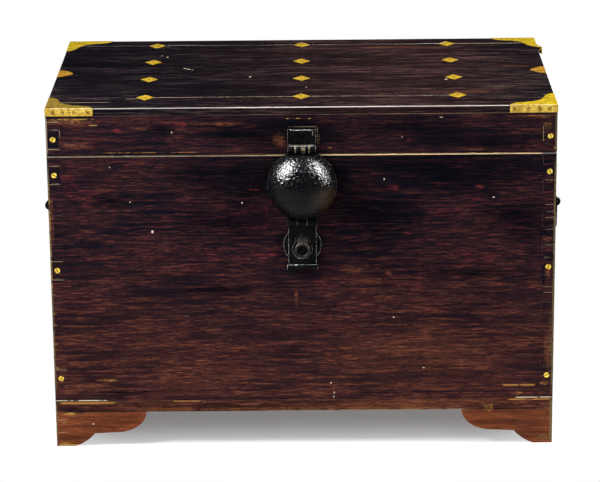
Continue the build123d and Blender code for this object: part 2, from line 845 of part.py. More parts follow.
def handles():
    """Two bails, the eyes that they turn in and the roses under the eyes."""
    for hand in hands:
        bail(hand)
    with BuildPart() as eyes:
        for hand, face in end_faces.items():
            for sign in ends.values():
                u = sign * eye_offset
                axis = on(face, u, handle_z, handle_stand)
                # The eye's disc stands on edge, its bore along the bail's axis.
                with Locations(axis):
                    Cylinder(eye_r, eye_thickness, rotation=(0, 90, 0))
                with Locations(on(face, u, handle_z, handle_stand - (bail_r + eye_r) / 2)):
                    Cylinder(eye_shank_r, handle_stand - (bail_r + eye_r) / 2 + board, align=hanging)
                with Locations(axis):
                    Cylinder(
                        bail_r + pin_clear, eye_thickness, rotation=(0, 90, 0), mode=Mode.SUBTRACT
                    )
                with Locations(on(face, u, handle_z, -board)):
                    Cylinder(eye_shank_r + rivet_rim, rivet_t, align=hanging)
    keep(eyes.part, "handle_eyes")
    with BuildPart() as roses:
        for face in end_faces.values():
            for place in eye_places(face):
                with Locations(place):
                    Cylinder(rose_r, rose_t, align=standing)
                    Cylinder(eye_shank_r + nail_clear, rose_t, align=standing, mode=Mode.SUBTRACT)
    keep(roses.part, "handle_roses")


carcass_walls()
base_rails()
bottom()
feet()
lid_frame()
lid_planks()
corner_mounts()
inlays_and_tacks()
back_hinges()
hasp()
iron_nails()
handles()
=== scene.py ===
import json
import math

import bmesh
import bpy
from mathutils import Matrix, Vector, noise


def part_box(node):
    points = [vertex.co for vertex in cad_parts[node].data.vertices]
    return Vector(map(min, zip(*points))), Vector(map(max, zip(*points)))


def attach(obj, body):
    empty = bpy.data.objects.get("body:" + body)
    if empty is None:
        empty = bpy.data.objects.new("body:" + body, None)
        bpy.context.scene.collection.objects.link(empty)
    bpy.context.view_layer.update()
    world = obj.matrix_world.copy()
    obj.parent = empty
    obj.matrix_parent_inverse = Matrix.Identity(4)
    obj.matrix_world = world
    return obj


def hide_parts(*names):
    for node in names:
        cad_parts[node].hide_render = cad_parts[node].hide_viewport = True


# The looks of a hardwood chest with brass on its lid and an iron hasp on its front, in metres.
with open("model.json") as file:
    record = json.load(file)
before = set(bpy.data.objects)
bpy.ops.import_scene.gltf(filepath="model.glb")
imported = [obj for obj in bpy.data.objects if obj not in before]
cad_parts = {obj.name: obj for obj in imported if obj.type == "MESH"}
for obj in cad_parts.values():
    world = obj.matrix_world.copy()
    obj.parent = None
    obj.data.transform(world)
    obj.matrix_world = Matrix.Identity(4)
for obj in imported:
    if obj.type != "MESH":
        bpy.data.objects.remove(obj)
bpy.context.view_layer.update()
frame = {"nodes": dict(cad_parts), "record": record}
nodes = frame["nodes"]
bodies = frame["record"]["behaviour"]["bodies"]
body_of = {node: body for body, members in bodies.items() for node in members}
scene = bpy.context.scene
scene.view_settings.view_transform = "Standard"
# The pieces that reflect the gloss cards.
all_but_brass = bpy.data.collections.new("all_but_brass")

# ---- Places read from the frame ----
wall_low, wall_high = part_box("front_board")
right_x = wall_high.x
front_y = wall_low.y
body_top = wall_high.z
back_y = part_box("back_board")[1].y
board_thickness = wall_high.y - wall_low.y
middle_y = (front_y + back_y) / 2
lid_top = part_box("lid_panel")[1].z
rim_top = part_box("lid_front_rim")[1].z
dome_low, dome_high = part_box("hasp_dome")
dome_r = dome_high.x
strap_top_to_dome = 0.0725
dome_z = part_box("hasp_strap")[1].z - strap_top_to_dome

# ---- Colours ----
ebony = (0.0032, 0.0033, 0.0074)
wine = (0.0215, 0.0082, 0.0108)
ember = (0.0980, 0.0260, 0.0215)
blood = (0.2200, 0.0300, 0.0320)
chestnut = (0.1700, 0.0560, 0.0260)
ochre = (0.3600, 0.1650, 0.0420)
gold = (0.5200, 0.3300, 0.0600)
olive = (0.1300, 0.1000, 0.0420)
tan = (0.3000, 0.2300, 0.1400)
bone = (0.6500, 0.5600, 0.4000)
# Silvery painted highlight, for edges that catch the light.
silver_highlight = (0.5200, 0.4700, 0.4300)
# Multiplied into the wood: soot, and painted shade round the hasp.
soot_and_shade = (0.16, 0.26, 0.40)
# Brown stain in the brass pits and round the tacks; on the dome, a painted reflection.
brown_stain_and_reflection = (0.14, 0.07, 0.02)
rubbed_orange = (0.24, 0.085, 0.028)


class Wiring:
    """Adds nodes to one tree. A socket given as a value is linked, anything else is set."""

    def __init__(self, tree):
        self.tree = tree

    def node(self, kind, inputs=None, **settings):
        made = self.tree.nodes.new(kind)
        for name, value in settings.items():
            setattr(made, name, value)
        for name, value in (inputs or {}).items():
            self.feed(value, made.inputs[name])
        return made

    def feed(self, value, socket):
        if isinstance(value, bpy.types.NodeSocket):
            self.tree.links.new(value, socket)
        elif socket.type == "RGBA":
            socket.default_value = (*value, 1.0)
        else:
            socket.default_value = value

    def maths(self, operation, a, b):
        return self.node("ShaderNodeMath", {0: a, 1: b}, operation=operation).outputs[0]

    def plus(self, a, b):
        return self.maths("ADD", a, b)

    def less(self, a, b):
        return self.maths("SUBTRACT", a, b)

    def times(self, a, b):
        return self.maths("MULTIPLY", a, b)

    def vector(self, operation, a, b):
        return self.node("ShaderNodeVectorMath", {0: a, 1: b}, operation=operation).outputs[0]

    def absolute(self, a):
        return self.node("ShaderNodeVectorMath", {0: a}, operation="ABSOLUTE").outputs[0]

    def length(self, a):
        return self.node("ShaderNodeVectorMath", {0: a}, operation="LENGTH").outputs["Value"]

    def noise(self, where, scale, detail=2.0, roughness=0.5):
        """Noise whose grain is one over the scale, in metres, along each axis."""
        stretched = self.vector("MULTIPLY", where, scale)
        settings = {"Vector": stretched, "Scale": 1.0, "Detail": detail, "Roughness": roughness}
        return self.node("ShaderNodeTexNoise", settings).outputs[0]

    def span(self, value, low, high, start=0.0, end=1.0):
        """The value's place between low and high, eased, as start to end."""
        values = {0: value, 1: low, 2: high, 3: start, 4: end}
        return self.node("ShaderNodeMapRange", values, interpolation_type="SMOOTHSTEP").outputs[0]

    def mix(self, share, a, b, blend_type="MIX"):
        values = {0: share, 6: a, 7: b}
        return self.node("ShaderNodeMix", values, data_type="RGBA", blend_type=blend_type).outputs[2]

    def axes(self, where):
        return self.node("ShaderNodeSeparateXYZ", {0: where}).outputs

    def use(self, group, inputs):
        return self.node("ShaderNodeGroup", inputs, node_tree=group).outputs


def node_group(name, inputs, outputs):
    """A new shader node group: its wiring, its given values and its output node."""
    tree = bpy.data.node_groups.new(name, "ShaderNodeTree")
    for socket, (kind, value) in inputs.items():
        made = tree.interface.new_socket(name=socket, in_out="INPUT", socket_type=f"NodeSocket{kind}")
        if value is not None:
            made.default_value = (*value, 1.0) if kind == "Color" else value
    for socket, kind in outputs.items():
        tree.interface.new_socket(name=socket, in_out="OUTPUT", socket_type=f"NodeSocket{kind}")
    wiring = Wiring(tree)
    return wiring, wiring.node("NodeGroupInput").outputs, wiring.node("NodeGroupOutput").inputs


# ---- Effects shared by several finishes ----
def make_figure():
    """Short fibres lying along X over soft bands: a colour, and heights for a bump."""
    sway_grain, sway_reach = (3.5, 9.0, 9.0), 0.012
    fibre_grain, band_grain, cloud_grain = (30, 420, 420), (7, 160, 160), (8, 19, 19)
    pore_grain, grit_grain = (80, 900, 900), (260, 700, 700)
    band_share, cloud_share = 0.55, 0.45
    fibre_height, pore_height = 0.35, 0.65
    wiring, given, out = node_group(
        "hardwood_figure",
        {
            "Place": ("Vector", None),
            "Dark": ("Color", ebony),
            "Middle": ("Color", wine),
            "Bright": ("Color", ember),
        },
        {"Color": "Color", "Fibre": "Float", "Height": "Float"},
    )
    sway = wiring.noise(given["Place"], sway_grain, 1.0)
    sway = wiring.times(wiring.less(sway, 0.5), sway_reach)
    shift = wiring.node("ShaderNodeCombineXYZ", {"Y": sway, "Z": sway}).outputs[0]
    place = wiring.vector("ADD", given["Place"], shift)
    fibre = wiring.span(wiring.noise(place, fibre_grain, 5.0, 0.68), 0.48, 0.61)
    band = wiring.span(wiring.noise(place, band_grain, 3.0, 0.6), 0.38, 0.62)
    cloud = wiring.span(wiring.noise(place, cloud_grain, 3.0, 0.6), 0.36, 0.66)
    pore = wiring.span(wiring.noise(place, pore_grain, 2.0), 0.33, 0.47)
    grit = wiring.span(wiring.noise(place, grit_grain, 2.0, 0.6), 0.34, 0.62, 0.45, 1.0)
    tone = wiring.plus(wiring.times(band, band_share), wiring.times(cloud, cloud_share))
    ground = wiring.mix(tone, given["Dark"], given["Middle"])
    share = wiring.times(wiring.times(fibre, grit), wiring.span(tone, 0.05, 0.8, 0.12, 1.0))
    colour = wiring.mix(share, ground, given["Bright"])
    colour = wiring.mix(wiring.less(1.0, pore), colour, given["Dark"])
    height = wiring.plus(wiring.times(fibre, fibre_height), wiring.times(pore, pore_height))
    for name, value in {"Color": colour, "Fibre": fibre, "Height": height}.items():
        wiring.feed(value, out[name])
    return wiring.tree


def place_in_shape(wiring, given):
    """The place measured from the shape's centre, in half sizes of the shape."""
    from_centre = wiring.vector("SUBTRACT", given["Place"], given["Centre"])
    return wiring.vector("DIVIDE", from_centre, given["Half Sizes"])


def make_spot():
    """A ragged spot: 1 inside the half sizes round the centre, 0 outside."""
    streak_grain, ragged_grain = (110, 420, 420), (1.3, 1.3, 1.3)
    wiring, given, out = node_group(
        "ragged_spot",
        {
            "Place": ("Vector", None),
            "Centre": ("Vector", (0, 0, 0)),
            "Half Sizes": ("Vector", (0.01, 0.01, 0.01)),
            "Core": ("Float", 0.6),
            "Ragged": ("Float", 0.5),
            "Streaks": ("Float", 0.8),
        },
        {"Mask": "Float"},
    )
    away = place_in_shape(wiring, given)
    rough = wiring.less(wiring.noise(away, ragged_grain, 3.0, 0.7), 0.5)
    rough = wiring.times(wiring.times(rough, given["Ragged"]), 2.0)
    reach = wiring.plus(wiring.length(away), rough)
    streaks = wiring.span(wiring.noise(given["Place"], streak_grain, 3.0, 0.65), 0.46, 0.56)
    streaks = wiring.times(wiring.less(1.0, streaks), given["Streaks"])
    mask = wiring.times(wiring.span(reach, 1.0, given["Core"]), wiring.less(1.0, streaks))
    wiring.feed(mask, out["Mask"])
    return wiring.tree


def make_patch():
    """A straight patch: 1 inside the half sizes round the centre, with gaps as it is more broken."""
    gap_grain, gap_edge = (55, 160, 160), 0.07
    wiring, given, out = node_group(
        "straight_patch",
        {
            "Place": ("Vector", None),
            "Centre": ("Vector", (0, 0, 0)),
            "Half Sizes": ("Vector", (0.01, 0.01, 0.01)),
            "Broken": ("Float", 0.3),
        },
        {"Mask": "Float"},
    )
    reach = wiring.axes(wiring.absolute(place_in_shape(wiring, given)))
    reach = wiring.maths("MAXIMUM", wiring.maths("MAXIMUM", reach["X"], reach["Y"]), reach["Z"])
    fray = wiring.less(wiring.noise(given["Place"], gap_grain, 4.0, 0.7), given["Broken"])
    mask = wiring.times(wiring.span(reach, 1.0, 0.8), wiring.span(fray, -gap_edge, gap_edge))
    wiring.feed(mask, out["Mask"])
    return wiring.tree


def make_wear():
    """The wear of metal plates: clouds, fine scratches and small pits."""
    cloud_grain, scratch_grain, pit_grain = (90, 90, 90), (140, 900, 900), (420, 420, 420)
    pit_height, scratch_height = 0.7, 0.3
    wiring, given, out = node_group(
        "metal_wear",
        {"Place": ("Vector", None), "Grain": ("Float", 1.0)},
        {"Cloud": "Float", "Scratch": "Float", "Pit": "Float", "Height": "Float"},
    )
    settings = {0: given["Place"], "Scale": given["Grain"]}
    place = wiring.node("ShaderNodeVectorMath", settings, operation="SCALE").outputs[0]
    cloud = wiring.span(wiring.noise(place, cloud_grain, 4.0, 0.6), 0.36, 0.64)
    scratch = wiring.span(wiring.noise(place, scratch_grain, 3.0, 0.6), 0.40, 0.62)
    pit = wiring.span(wiring.noise(place, pit_grain, 2.0), 0.36, 0.50)
    height = wiring.plus(wiring.times(pit, pit_height), wiring.times(scratch, scratch_height))
    for name, value in {"Cloud": cloud, "Scratch": scratch, "Pit": pit, "Height": height}.items():
        wiring.feed(value, out[name])
    return wiring.tree


figure = make_figure()
spot = make_spot()
patch = make_patch()
metal_wear = make_wear()


# ---- Finishes ----
def emptied(owner):
    """The wiring of a material's or a world's own tree, with nothing in it."""
    owner.use_nodes = True
    owner.node_tree.nodes.clear()
    return Wiring(owner.node_tree)


def begin(name):
    """A new material: it, its wiring, its shader and the object's own coordinates."""
    material = bpy.data.materials.new(name)
    wiring = emptied(material)
    shader = wiring.node("ShaderNodeBsdfPrincipled")
    wiring.node("ShaderNodeOutputMaterial", {"Surface": shader.outputs[0]})
    place = wiring.node("ShaderNodeTexCoord").outputs["Object"]
    return material, wiring, shader, place


def bump(wiring, shader, height, strength, distance):
    """Gives the shader the height as a bump."""
    settings = {"Strength": strength, "Distance": distance, "Height": height}
    wiring.feed(wiring.node("ShaderNodeBump", settings).outputs[0], shader.inputs["Normal"])


def daub(wiring, place, colour, layers, blend_type="MIX"):
    """The colour under layers of spots and patches; a layer is (paint, share, shapes)."""
    for paint, share, shapes in layers:
        for shape, values in shapes:
            mask = wiring.use(shape, {"Place": place, **values})["Mask"]
            colour = wiring.mix(wiring.times(mask, share), colour, paint, blend_type)
    return colour


def hardwood(name, turned=False, shift=(0, 0, 0), dark=ebony, middle=wine, bright=ember,
             roughness=0.55, tone=None, darkened=(), marks=(), specular=0.015, spread=(1, 1, 1)):
    """Old hardwood, its grain along X, or along Y if turned.

    tone(wiring, place, colours) shifts its colours over the piece. Where it is darkened the
    figure still shows, and marks are laid over it.
    """
    rougher_between_fibres, smoother_on_fibres = 0.08, 0.06
    material, wiring, shader, place = begin(name)
    turn = (0, 0, math.radians(90)) if turned else (0, 0, 0)
    settings = {"Vector": place, "Location": shift, "Rotation": turn, "Scale": spread}
    along = wiring.node("ShaderNodeMapping", settings).outputs[0]
    colours = {"Dark": dark, "Middle": middle, "Bright": bright}
    if tone is not None:
        colours = tone(wiring, place, colours)
    made = wiring.use(figure, {"Place": along, **colours})
    colour = daub(wiring, place, made["Color"], darkened, "MULTIPLY")
    colour = daub(wiring, place, colour, marks)
    wiring.feed(colour, shader.inputs["Base Color"])
    between, on_fibres = roughness + rougher_between_fibres, roughness - smoother_on_fibres
    wiring.feed(wiring.span(made["Fibre"], 0.0, 1.0, between, on_fibres), shader.inputs["Roughness"])
    shader.inputs["Specular IOR Level"].default_value = specular
    bump(wiring, shader, made["Height"], strength=0.4, distance=0.0004)
    return material


def rubbed_wood(name, colour_left, colour_right, low=0.38, high=0.60):
    """An edge worn to bare wood in places, its tone going from left to right, grey at the right end."""
    grey_wood, grey_from, grey_to = (0.16, 0.14, 0.15), 0.426, 0.434
    rub_grain = (16, 60, 60)
    material, wiring, shader, place = begin(name)
    x = wiring.axes(place)["X"]
    bare = wiring.mix(wiring.span(x, -0.15, 0.10), colour_left, colour_right)
    bare = wiring.mix(wiring.span(x, grey_from, grey_to), bare, grey_wood)
    worn = wiring.span(wiring.noise(place, rub_grain, 4.0, 0.65), low, high)
    wiring.feed(wiring.mix(worn, wine, bare), shader.inputs["Base Color"])
    shader.inputs["Roughness"].default_value = 0.45
    shader.inputs["Specular IOR Level"].default_value = 0.2
    return material


def brass_finish(name, bright, dull, brown=brown_stain_and_reflection, metallic=0.2, roughness=0.24, marks=()):
    """Rubbed brass: clouds of dull and bright metal, brown in the pits, with marks laid over it."""
    rougher_between_scratches, smoother_on_scratches = 0.10, 0.05
    material, wiring, shader, place = begin(name)
    wear = wiring.use(metal_wear, {"Place": place})
    colour = wiring.mix(wear["Cloud"], dull, bright)
    colour = wiring.mix(wiring.span(wear["Pit"], 0.55, 0.0), colour, brown)
    colour = daub(wiring, place, colour, marks)
    wiring.feed(colour, shader.inputs["Base Color"])
    shader.inputs["Metallic"].default_value = metallic
    shader.inputs["Specular IOR Level"].default_value = 0.05
    between, on_scratches = roughness + rougher_between_scratches, roughness - smoother_on_scratches
    wiring.feed(wiring.span(wear["Scratch"], 0.0, 1.0, between, on_scratches), shader.inputs["Roughness"])
    bump(wiring, shader, wear["Height"], strength=0.3, distance=0.0002)
    return material


def iron_finish(name, dark, light, metallic, roughness, specular=0.3, grain=1.0, pitted=0.1,
                marks=(), hammered=0.0):
    """Blackened iron, or pale iron if the light colour is pale: rubbed bright, and partly a painted
    highlight. Hammered adds small bowls.
    """
    bowls_in_a_metre = 250.0
    material, wiring, shader, place = begin(name)
    wear = wiring.use(metal_wear, {"Place": place, "Grain": grain})
    colour = daub(wiring, place, wiring.mix(wear["Cloud"], dark, light), marks)
    wiring.feed(colour, shader.inputs["Base Color"])
    shader.inputs["Metallic"].default_value = metallic
    shader.inputs["Specular IOR Level"].default_value = specular
    in_pits = roughness + pitted
    wiring.feed(wiring.span(wear["Pit"], 0.0, 1.0, in_pits, roughness), shader.inputs["Roughness"])
    height = wear["Height"]
    if hammered:
        settings = {"Vector": place, "Scale": bowls_in_a_metre}
        bowls = wiring.node("ShaderNodeTexVoronoi", settings).outputs["Distance"]
        bowls = wiring.times(wiring.times(bowls, bowls), hammered)
        height = wiring.plus(height, bowls)
    bump(wiring, shader, height, strength=0.4, distance=0.0003)
    return material


# ---- Wear: places and half sizes in millimetres ----
front_mark_reach = 0.02
dome_mark_reach = 0.2
lid_spot_reach = 0.01
lid_patch_reach = 0.0015


def on_front(x, z, half_x, half_z, reach=front_mark_reach):
    """Where a shape lies on the front, and how far it reaches there and in depth."""
    half_sizes = (half_x / 1000, reach, half_z / 1000)
    return {"Centre": (x / 1000, front_y, z / 1000), "Half Sizes": half_sizes}


def on_lid(x, y, half_x, half_y, reach):
    """Where a shape lies on the lid top, and how far it reaches there and in depth."""
    half_sizes = (half_x / 1000, half_y / 1000, reach)
    return {"Centre": (x / 1000, y / 1000, lid_top), "Half Sizes": half_sizes}


def front_spot(x, z, half_x, half_z, core=0.2, ragged=0.8):
    """A ragged spot on the front."""
    return spot, {**on_front(x, z, half_x, half_z), "Core": core, "Ragged": ragged}


def front_patch(x, z, half_x, half_z, broken=0.3):
    """A straight patch or line on the front."""
    return patch, {**on_front(x, z, half_x, half_z), "Broken": broken}


def front_speck(x, z, half_x, half_z):
    """A whole small spot on the front, without streaks."""
    return spot, {**on_front(x, z, half_x, half_z), "Core": 0.6, "Ragged": 0.2, "Streaks": 0.0}


def front_shade(x, z, half_x, half_z, core=0.1, ragged=0.6):
    """A soft shade on the front, without streaks."""
    return spot, {**on_front(x, z, half_x, half_z), "Core": core, "Ragged": ragged, "Streaks": 0.0}


def dome_soft_patch(x, z, half_x, half_z):
    """A soft painted patch on the dome, however far it stands out."""
    there = on_front(x, z, half_x, half_z, dome_mark_reach)
    return spot, {**there, "Core": 0.1, "Ragged": 0.6, "Streaks": 0.0}


def lid_spot(x, y, half_x, half_y, core=0.3, ragged=0.5):
    """A ragged spot on the lid top."""
    return spot, {**on_lid(x, y, half_x, half_y, lid_spot_reach), "Core": core, "Ragged": ragged}


def lid_speck(x, y, half_x, half_y):
    """A whole small spot on the lid top, without streaks."""
    there = on_lid(x, y, half_x, half_y, lid_spot_reach)
    return spot, {**there, "Core": 0.3, "Ragged": 0.5, "Streaks": 0.0}


def lid_patch(x, y, half_x, half_y, broken=0.3):
    """A straight patch or line on the lid top."""
    return patch, {**on_lid(x, y, half_x, half_y, lid_patch_reach), "Broken": broken}


def redder_below(wiring, place, colours):
    """The front grows redder from the hasp down to the rail, and its fibres are crimson in places above."""
    crimson, crimson_grain = (0.155, 0.024, 0.031), (13, 34, 34)
    below = {
        "Dark": (0.0120, 0.0055, 0.0085),
        "Middle": (0.0510, 0.0155, 0.0140),
        "Bright": (0.1600, 0.0500, 0.0260),
    }
    low = wiring.span(wiring.axes(place)["Z"], 0.43, 0.14)
    crimson_share = wiring.span(wiring.noise(place, crimson_grain, 2.0, 0.6), 0.52, 0.66)
    above = {**colours, "Bright": wiring.mix(crimson_share, colours["Bright"], crimson)}
    return {name: wiring.mix(low, above[name], below[name]) for name in below}


def redder_to_the_right(wiring, place, colours):
    """The lid top is black at the left, brown right of the middle and black again at its end."""
    browner = {
        "Dark": (0.0062, 0.0040, 0.0052),
        "Middle": (0.0215, 0.0105, 0.0112),
        "Bright": (0.0860, 0.0430, 0.0370),
    }
    # Partly painted shade: the lid's right end is darkened where more light falls on it.
    shaded_end_tones = {
        "Dark": (0.0040, 0.0034, 0.0046),
        "Middle": (0.0115, 0.0074, 0.0082),
        "Bright": (0.0520, 0.0330, 0.0310),
    }
    x = wiring.axes(place)["X"]
    right, end = wiring.span(x, -0.30, 0.25), wiring.span(x, 0.24, 0.44)
    browned = {name: wiring.mix(right, colours[name], browner[name]) for name in colours}
    return {name: wiring.mix(end, browned[name], shaded_end_tones[name]) for name in colours}


# The corner screws, in millimetres.
screw_x, body_screw_z, lid_screw_z = 445.5, (132, 340, 519), 585
# Painted shade round and below the hasp, and a darker, sooty band along the top of the front.
front_darkened = [(soot_and_shade, 1.0, [
    front_shade(-110, 500, 190, 85, 0.1, 0.5), front_shade(20, 505, 150, 75, 0.1, 0.4),
    front_shade(250, 522, 280, 65, 0.1), front_shade(120, 445, 170, 66, 0.1),
    front_shade(-130, 425, 130, 45, 0.0), front_shade(385, 430, 100, 55, 0.0, 0.7),
    front_shade(0, 380, 70, 70, 0.1, 0.4), front_shade(-345, 470, 60, 24, 0.0, 0.7),
    front_shade(-150, 300, 90, 18, 0.0), front_shade(300, 330, 120, 16, 0.0),
    front_shade(-330, 103, 120, 9, 0.0),
])]
front_marks = [
    (blood, 0.45, [
        front_spot(-64, 452, 2.5, 12), front_spot(190, 405, 10, 4), front_spot(166, 492, 13, 8, 0.0, 1.1),
        front_spot(-86, 489, 12, 3.5), front_spot(320, 492, 12, 5),
    ]),
    (chestnut, 0.22, [front_spot(250, 165, 240, 80, 0.0, 0.5)]),
    (chestnut, 0.6, [
        front_spot(156, 330, 9, 7), front_spot(92, 336, 24, 9), front_spot(-12, 285, 5, 24),
        front_spot(-390, 118, 40, 7), front_spot(400, 190, 16, 6), front_spot(120, 315, 36, 9),
    ]),
    (ebony, 0.8, [
        front_spot(-197, 95, 3.5, 3.0), front_patch(255, 101, 178, 0.8, 0.2),
        front_patch(-150, 90.5, 130, 1.2, 0.4),
    ]),
    (ochre, 0.75, [
        front_patch(395, 113, 32, 2.0, 0.38), front_spot(392, 98, 16, 3), front_spot(-360, 128, 26, 3),
    ]),
    (tan, 0.5, [front_spot(-212, 251, 6, 3, 0.1, 0.5), front_patch(-257, 388, 4, 0.5, 0.45)]),
    (bone, 0.9, [
        front_patch(-395, 89, 38, 0.9, 0.42), front_patch(410, 89, 22, 0.9, 0.35),
        front_speck(-271, 412, 2.6, 3.4), front_speck(148, 507, 1.5, 2.0),
        front_speck(-108, 465, 1.8, 1.8), front_speck(-345, 533, 1.3, 1.3),
        front_speck(-310, 468, 1.2, 1.4), front_speck(345, 472, 2.6, 1.4),
        front_speck(165, 246, 2.2, 1.2), front_speck(220, 148, 2.4, 1.1), front_speck(50, 120, 2.0, 1.4),
        front_speck(56, 101, 1.3, 2.2), front_speck(55, 93, 1.3, 2.2),
    ]),
]
left_tail_marks = [
    (chestnut, 0.6, [front_spot(-452, 430, 5, 60)]),
    (ebony, 0.8, [
        front_patch(-screw_x, 519, 12.3, 17.2, 0.30),
        *(front_spot(-screw_x, z, 13, 8, 0.2) for z in (355, 325, 118)),
    ]),
    (tan, 0.6, [front_patch(-screw_x, z, 11.5, 0.7, 0.42) for z in (536, 502, 357, 322, 149)]),
    (olive, 0.8, [front_patch(-455.7, 320, 1.3, 235, 0.42)]),
    (ochre, 0.6, [
        front_patch(-455.7, 400, 1.2, 110, 0.52),
        *(front_spot(-452, z, 5, 3.5) for z in (470, 293, 257, 235, 199, 152)),
    ]),
    (bone, 0.8, [front_patch(-445, 89, 12, 0.9, 0.40)]),
]
right_tail_darkened = [(soot_and_shade, 1.0, [
    front_shade(250, 522, 280, 65), front_shade(385, 430, 100, 55, 0.0, 0.7),
])]
right_tail_marks = [
    (chestnut, 0.7, [
        front_spot(440, 393, 22, 7), front_spot(445, 330, 8, 18), front_spot(446, 180, 9, 50),
    ]),
    (ebony, 0.8, [
        *(front_spot(screw_x, z, 10, 12) for z in body_screw_z), front_patch(436, 325, 4, 22, 0.4),
    ]),
    (tan, 0.55, [
        front_patch(446, z, 9, 0.6, 0.45) for z in (457, 444, 433, 411, 381, 358, 302, 291, 150)
    ]),
    (olive, 0.8, [front_patch(455.4, 320, 1.6, 235, 0.40)]),
    (olive, 0.5, [front_spot(452, 190, 6, 95, 0.0, 0.5)]),
    (ochre, 0.75, [front_spot(446, 503, 10, 3), front_spot(441, 116, 10, 5)]),
    (bone, 0.9, [front_patch(445, 89, 12, 0.9, 0.25)]),
]
rim_darkened = [(soot_and_shade, 1.0, [
    front_shade(-110, 592, 120, 40, 0.0, 0.5), front_shade(10, 590, 130, 50, 0.2, 0.5),
    front_shade(330, 572, 150, 24, 0.0), front_shade(200, 600, 170, 34, 0.0),
    front_shade(-250, 600, 40, 16, 0.0),
])]
rim_marks = [
    (chestnut, 0.75, [
        front_spot(-40, 580, 14, 15, 0.4), front_spot(-405, 574, 36, 9),
        front_spot(-412, 616, 64, 11, 0.1), front_spot(-290, 605, 26, 5), front_spot(308, 561, 34, 2.5),
        front_spot(-150, 612, 60, 5), front_spot(-10, 621, 26, 1.2),
    ]),
    (blood, 0.6, [
        front_spot(190, 578, 6, 4), front_spot(-215, 612, 16, 6), front_spot(-330, 601, 14, 5),
    ]),
    (ochre, 0.5, [
        front_spot(-418, 620, 44, 6, 0.1), front_spot(420, 622, 46, 4, 0.1), front_spot(52, 566, 6, 2.5),
        front_patch(-270, 560.0, 90, 0.9, 0.49), front_spot(441, 604, 9, 10),
    ]),
    (tan, 0.45, [front_patch(2, 605.5, 27, 0.7, 0.42), front_patch(28.5, 599, 0.7, 6, 0.40)]),
    (olive, 0.6, [front_spot(29, 583, 5, 14, 0.4), front_patch(455.5, 592, 1.6, 36, 0.4)]),
    (ebony, 0.9, [
        front_patch(-screw_x, lid_screw_z, 12.3, 17.4, 0.22), front_spot(screw_x, lid_screw_z, 10, 12),
    ]),
    (tan, 0.7, [
        front_patch(-445, 617.5, 12, 0.8, 0.35), front_patch(-445, 567, 12, 0.9, 0.3),
        front_patch(-445, 603.2, 12, 0.7, 0.4), front_patch(-432.7, 596, 0.6, 7, 0.35),
        front_patch(432.8, 590, 0.6, 16, 0.45), front_patch(-456, 592, 1.1, 36, 0.35),
    ]),
    (gold, 0.6, [
        front_patch(-408, 622.5, 40, 1.0, 0.50), front_patch(-372, 611, 8, 0.8, 0.45),
        front_spot(453, 563, 3, 4), front_speck(-25, 621, 3, 1), front_speck(-6, 621, 4, 1),
        front_speck(14.5, 620.6, 3.5, 1),
    ]),
    (bone, 0.9, [
        front_speck(-232, 597, 0.9, 2.6), front_speck(180, 585, 1.0, 1.0), front_speck(250, 621, 4, 0.7),
    ]),
]
foot_marks = [
    (chestnut, 0.5, [front_spot(200, 77, 230, 12, 0.0, 0.5)]),
    (ebony, 0.35, [front_shade(410, 40, 60, 34, 0.0), front_shade(-430, 64, 34, 12, 0.2)]),
    (ebony, 0.8, [
        front_spot(-424, 68, 28, 6, 0.3), front_patch(-336, 67.3, 40, 1.0, 0.2),
        front_spot(-428, 56, 5, 4), front_spot(-425, 18, 16, 3), front_patch(380, 67.3, 70, 0.8, 0.4),
        front_spot(-320, 52, 4, 3), front_spot(-384, 76, 14, 8), front_patch(-190, 86, 3.5, 4, 0.2),
    ]),
    (ochre, 0.8, [
        front_patch(-398, 84, 56, 2.4, 0.42), front_patch(415, 85, 42, 1.6, 0.42),
        front_spot(-433, 62, 22, 5), front_spot(-440, 4, 16, 5, 0.4), front_spot(340, 70, 12, 12),
        front_patch(-215, 86.5, 28, 1.0, 0.35),
    ]),
    (gold, 0.7, [
        front_spot(-430, 64, 9, 2.5), front_spot(-442, 46, 7, 1.6), front_patch(-430, 2, 26, 1.3, 0.4),
    ]),
    (tan, 0.8, [
        front_patch(-447, 51, 9, 0.8, 0.35), front_patch(-446, 27, 10, 0.9, 0.35),
        front_patch(120, 66.9, 200, 0.9, 0.44),
    ]),
    (rubbed_orange, 0.35, [front_patch(-20, 70, 310, 3.4, 0.48)]),
    (olive, 0.8, [
        front_patch(454.5, 44, 2.6, 44, 0.35), front_patch(-456, 44, 1.2, 44, 0.35),
        front_spot(440, 10, 18, 8),
    ]),
    (bone, 0.9, [front_speck(-389, 43, 1.9, 1.7)]),
]
lid_marks = [
    (chestnut, 0.45, [
        lid_spot(395, 60, 60, 9, 0.1, 0.9), lid_spot(-256, 103, 24, 3, 0.1, 0.8),
        lid_spot(180, 230, 120, 14, 0.1, 0.9), lid_patch(-230, -169.5, 66, 1.6, 0.45),
        lid_spot(300, -140, 90, 12, 0.1, 0.9),
    ]),
    (tan, 0.6, [
        lid_patch(-389, -201, 48, 1.6, 0.30), lid_patch(-302, -176, 16, 1.6, 0.40),
        lid_patch(60, -168.5, 260, 1.2, 0.47), lid_patch(-230, -168.5, 45, 1.2, 0.38),
        lid_patch(356, 258, 74, 2.2, 0.32), lid_spot(370, -100, 40, 3, 0.1, 0.9),
    ]),
    (bone, 1.0, [
        lid_speck(-220, 63, 4.5, 2.5), lid_speck(-213, 56, 4.5, 2.5), lid_speck(-206, 50, 3, 2.0),
        lid_speck(-258, 159, 3, 3), lid_speck(-269, 171, 3, 2), lid_speck(-96, -11, 3, 4),
        lid_speck(9, -96, 2, 3), lid_speck(268, -44, 4, 4),
    ]),
    # Painted highlight along the worn front edge of the lid top.
    (silver_highlight, 0.55, [lid_patch(-130, front_y * 1000, 330, 2.2, 0.25)]),
    (silver_highlight, 0.75, [lid_patch(150, front_y * 1000, 310, 2.2, 0.25)]),
]


